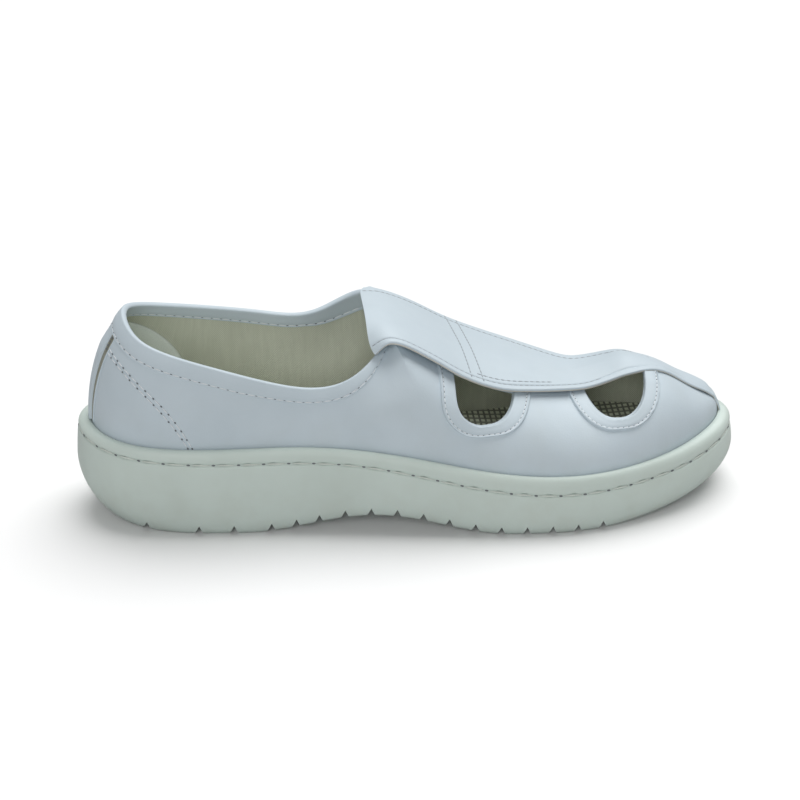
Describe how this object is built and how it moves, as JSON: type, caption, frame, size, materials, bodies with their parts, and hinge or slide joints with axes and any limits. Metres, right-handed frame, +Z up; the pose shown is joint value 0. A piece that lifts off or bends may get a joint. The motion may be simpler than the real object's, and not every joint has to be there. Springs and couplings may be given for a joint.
{
  "type": "cleanroom shoe",
  "caption": "White slip-on cleanroom shoe for the right foot, with a moulded lipped sole, vent eyes on both sides, a wide strap over the vamp and a bound collar.",
  "frame": {"origin": "on the floor, at the middle of the shoe's length and width", "axes": "+X from heel to toe, +Y to the medial side of this right shoe, +Z up"},
  "size_m": [0.2866, 0.1023, 0.0912],
  "materials": {
    "leather": "coated fabric, satin",
    "sole": "moulded polyurethane, matt",
    "insole": "grid mesh, matt",
    "lining": "matt"
  },
  "bodies": {
    "root": {"sole": "sole", "insole": "insole", "upper": "leather", "strap": "leather", "collar_binding": "leather", "back_stay": "leather", "heel_grip": "lining", "eye_band_rear_lateral": "leather", "eye_band_rear_medial": "leather", "eye_band_front_lateral": "leather", "eye_band_front_medial": "leather"}
  },
  "joints": []
}
